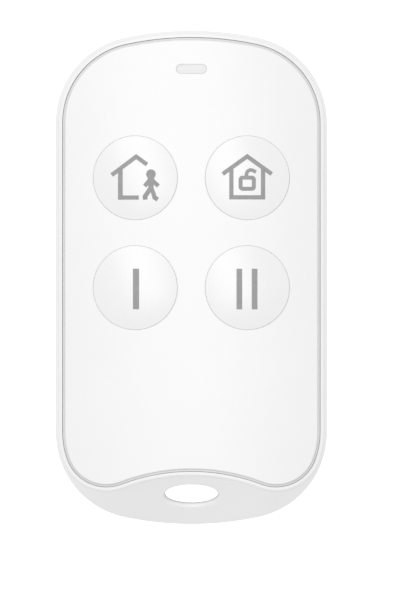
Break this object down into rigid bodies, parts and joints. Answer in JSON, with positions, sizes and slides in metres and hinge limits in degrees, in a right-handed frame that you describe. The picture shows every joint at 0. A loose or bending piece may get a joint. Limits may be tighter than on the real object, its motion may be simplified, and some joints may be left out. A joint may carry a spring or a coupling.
{
  "type": "alarm key fob",
  "caption": "Palm-size white alarm key fob: crowned two-part housing, round domed push buttons with pictograms, status light window and key ring eye in a sloped chin",
  "frame": {"origin": "middle of the flat back that the fob lies on", "axes": "+X across the fob, +Y from the key ring end to the status light end, +Z out of the front"},
  "size_m": [0.034, 0.0618, 0.0128],
  "materials": {
    "face_plastic": "satin moulded white",
    "tub_plastic": "satin moulded white",
    "button_plastic": "satin moulded white",
    "light_pipe_plastic": "milky clear",
    "screw_steel": "zinc plated",
    "board_laminate": "green solder mask",
    "cell_steel": "nickel plated",
    "cell_cap_steel": "nickel plated",
    "cell_filling": "dark pressed pellet",
    "cell_seal_plastic": "moulded seal",
    "clip_steel": "nickel plated spring steel",
    "contact_gold": "gold plated",
    "chip_black": "moulded black",
    "lead_tin": "tinned",
    "ceramic_dark": "fired ceramic",
    "crystal_metal": "plated lid",
    "led_white": "clear resin on white base",
    "antenna_copper": "enamelled copper wire",
    "capacitor_ceramic": "tan ceramic",
    "resistor_black": "black glaze",
    "inductor_ferrite": "dark ferrite",
    "switch_base_plastic": "moulded black",
    "dome_steel": "spring steel",
    "plunger_plastic": "moulded",
    "switch_cover_steel": "stamped sheet"
  },
  "bodies": {
    "housing": {"arm_switch_base": "switch_base_plastic", "arm_switch_cover": "switch_cover_steel", "arm_switch_dome": "dome_steel", "arm_switch_legs": "lead_tin", "battery_clip": "clip_steel", "chip_capacitors": "capacitor_ceramic", "chip_inductors": "inductor_ferrite", "chip_resistors": "resistor_black", "circuit_board": "board_laminate", "coin_cell_can": "cell_steel", "coin_cell_cap": "cell_cap_steel", "coin_cell_core": "cell_filling", "coin_cell_seal": "cell_seal_plastic", "control_chip": "chip_black", "control_chip_leads": "lead_tin", "cover_screws": "screw_steel", "crystal_base": "ceramic_dark", "crystal_can": "crystal_metal", "disarm_switch_base": "switch_base_plastic", "disarm_switch_cover": "switch_cover_steel", "disarm_switch_dome": "dome_steel", "disarm_switch_legs": "lead_tin", "front_cover": "face_plastic", "light_pipe": "light_pipe_plastic", "negative_contact": "contact_gold", "one_switch_base": "switch_base_plastic", "one_switch_cover": "switch_cover_steel", "one_switch_dome": "dome_steel", "one_switch_legs": "lead_tin", "radio_chip": "chip_black", "rear_cover": "tub_plastic", "status_led": "led_white", "two_switch_base": "switch_base_plastic", "two_switch_cover": "switch_cover_steel", "two_switch_dome": "dome_steel", "two_switch_legs": "lead_tin", "wire_antenna": "antenna_copper"},
    "arm_button": {"arm_button_cap": "button_plastic"},
    "arm_plunger": {"arm_switch_plunger": "plunger_plastic"},
    "disarm_button": {"disarm_button_cap": "button_plastic"},
    "disarm_plunger": {"disarm_switch_plunger": "plunger_plastic"},
    "one_button": {"one_button_cap": "button_plastic"},
    "one_plunger": {"one_switch_plunger": "plunger_plastic"},
    "two_button": {"two_button_cap": "button_plastic"},
    "two_plunger": {"two_switch_plunger": "plunger_plastic"}
  },
  "joints": [
    {"name": "arm_button_press", "type": "slide", "parent": "housing", "child": "arm_button", "axis": [0, 0, -1], "range_m": [0, 0.0003], "stiffness_N_per_m": 5300},
    {"name": "arm_plunger_press", "type": "slide", "parent": "housing", "child": "arm_plunger", "axis": [0, 0, -1], "range_m": [0, 0.0003], "deforming": ["arm_switch_dome"]},
    {"name": "disarm_button_press", "type": "slide", "parent": "housing", "child": "disarm_button", "axis": [0, 0, -1], "range_m": [0, 0.0003], "stiffness_N_per_m": 5300},
    {"name": "disarm_plunger_press", "type": "slide", "parent": "housing", "child": "disarm_plunger", "axis": [0, 0, -1], "range_m": [0, 0.0003], "deforming": ["disarm_switch_dome"]},
    {"name": "one_button_press", "type": "slide", "parent": "housing", "child": "one_button", "axis": [0, 0, -1], "range_m": [0, 0.0003], "stiffness_N_per_m": 5300},
    {"name": "one_plunger_press", "type": "slide", "parent": "housing", "child": "one_plunger", "axis": [0, 0, -1], "range_m": [0, 0.0003], "deforming": ["one_switch_dome"]},
    {"name": "two_button_press", "type": "slide", "parent": "housing", "child": "two_button", "axis": [0, 0, -1], "range_m": [0, 0.0003], "stiffness_N_per_m": 5300},
    {"name": "two_plunger_press", "type": "slide", "parent": "housing", "child": "two_plunger", "axis": [0, 0, -1], "range_m": [0, 0.0003], "deforming": ["two_switch_dome"]}
  ],
  "couplings": [
    {"joint": "arm_plunger_press", "follows": "arm_button_press", "ratio": 1},
    {"joint": "disarm_plunger_press", "follows": "disarm_button_press", "ratio": 1},
    {"joint": "one_plunger_press", "follows": "one_button_press", "ratio": 1},
    {"joint": "two_plunger_press", "follows": "two_button_press", "ratio": 1}
  ]
}
